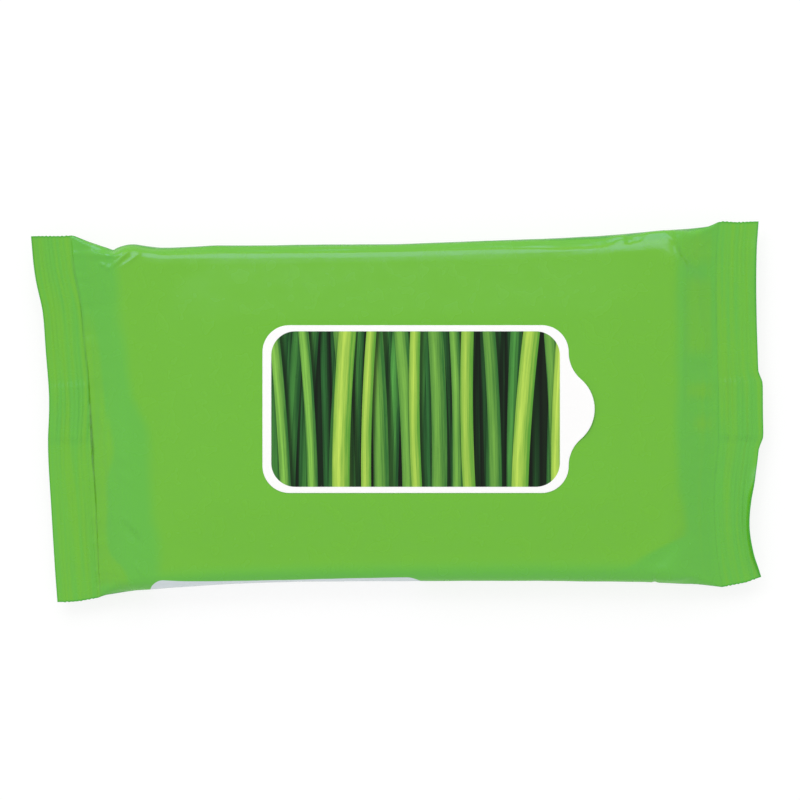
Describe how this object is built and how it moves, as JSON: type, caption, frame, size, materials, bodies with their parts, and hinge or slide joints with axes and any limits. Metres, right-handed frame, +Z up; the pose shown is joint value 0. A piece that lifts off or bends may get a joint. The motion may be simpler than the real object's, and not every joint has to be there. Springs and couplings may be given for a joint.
{
  "type": "wet wipes pack",
  "caption": "Sealed film pouch of wet wipes with crimped end seals, a folded back seam and a peelable label with a pull tab.",
  "frame": {"origin": "on the table, under the middle of the ground that the pack covers", "axes": "+X along the pack from one end seal to the other, +Y across it, +Z up out of the label"},
  "size_m": [0.1504, 0.0784, 0.0102],
  "materials": {
    "green_film": "glossy printed film, apple green, with a white panel on the back",
    "white_label": "glossy white film with a printed field of green grass blades"
  },
  "bodies": {
    "root": {"film_pouch": "green_film", "reseal_label": "white_label"}
  },
  "joints": []
}
